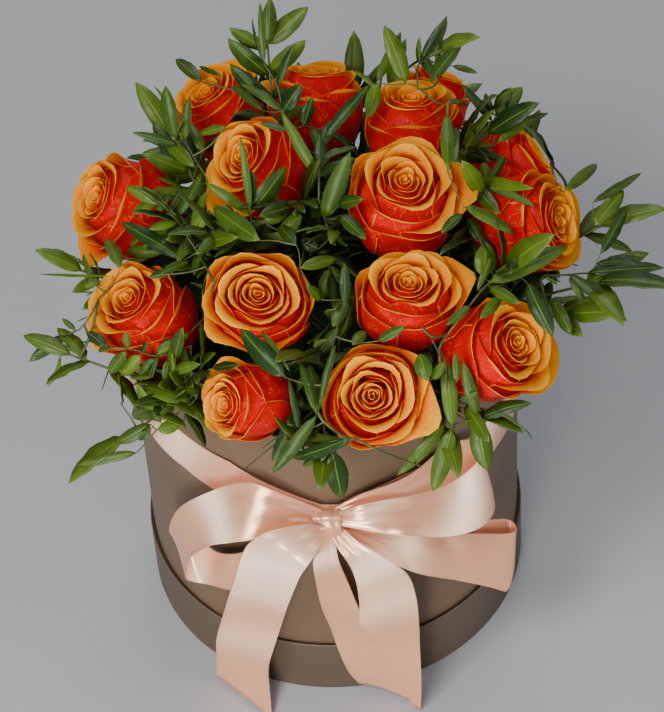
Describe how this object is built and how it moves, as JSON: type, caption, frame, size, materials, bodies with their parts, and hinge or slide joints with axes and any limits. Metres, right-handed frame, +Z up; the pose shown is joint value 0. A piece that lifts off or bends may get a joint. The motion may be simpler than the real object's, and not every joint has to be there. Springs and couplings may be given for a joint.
{
  "type": "box of roses",
  "caption": "Round cardboard box standing on its upturned lid, tied with a satin bow and filled with orange and red roses among leafy green sprays set in floral foam.",
  "frame": {"origin": "centre of the upturned lid's underside, on the surface it rests on", "axes": "+Z up; the bow faces -Y; +X is to the right as seen from the bow's side"},
  "size_m": [0.2887, 0.2443, 0.2998],
  "materials": {
    "box_cardboard": "smooth taupe card with a soft sheen",
    "lid_cardboard": "smooth dark taupe card with a soft sheen",
    "liner_film": "clear waterproof film",
    "foam_green": "fine-pored wet floral foam",
    "satin_peach": "glossy satin ribbon with woven edges",
    "petal_orange": "velvety petals, orange-yellow inside and red outside",
    "stem_green": "smooth green stem",
    "leaf_green": "waxy green leaves with paler veins"
  },
  "bodies": {
    "root": {"box_body": "box_cardboard", "box_lid": "lid_cardboard", "liner": "liner_film", "foam": "foam_green", "ribbon_band": "satin_peach", "ribbon_knot": "satin_peach", "ribbon_loop_left": "satin_peach", "ribbon_loop_right": "satin_peach", "ribbon_loop_low": "satin_peach", "ribbon_tail_left": "satin_peach", "ribbon_tail_middle": "satin_peach", "ribbon_tail_right": "satin_peach", "rose_01_bloom": "petal_orange", "rose_01_stem": "stem_green", "rose_02_bloom": "petal_orange", "rose_02_stem": "stem_green", "rose_03_bloom": "petal_orange", "rose_03_stem": "stem_green", "rose_04_bloom": "petal_orange", "rose_04_stem": "stem_green", "rose_05_bloom": "petal_orange", "rose_05_stem": "stem_green", "rose_06_bloom": "petal_orange", "rose_06_stem": "stem_green", "rose_07_bloom": "petal_orange", "rose_07_stem": "stem_green", "rose_08_bloom": "petal_orange", "rose_08_stem": "stem_green", "rose_09_bloom": "petal_orange", "rose_09_stem": "stem_green", "rose_10_bloom": "petal_orange", "rose_10_stem": "stem_green", "rose_11_bloom": "petal_orange", "rose_11_stem": "stem_green", "rose_12_bloom": "petal_orange", "rose_12_stem": "stem_green", "rose_13_bloom": "petal_orange", "rose_13_stem": "stem_green", "rose_14_bloom": "petal_orange", "rose_14_stem": "stem_green", "rose_15_bloom": "petal_orange", "rose_15_stem": "stem_green", "spray_01": "leaf_green", "spray_02": "leaf_green", "spray_03": "leaf_green", "spray_04": "leaf_green", "spray_05": "leaf_green", "spray_06": "leaf_green", "spray_07": "leaf_green", "spray_08": "leaf_green", "spray_09": "leaf_green", "spray_10": "leaf_green", "spray_11": "leaf_green", "spray_12": "leaf_green", "spray_13": "leaf_green", "spray_14": "leaf_green", "spray_15": "leaf_green", "spray_16": "leaf_green", "spray_17": "leaf_green", "spray_18": "leaf_green"}
  },
  "joints": []
}
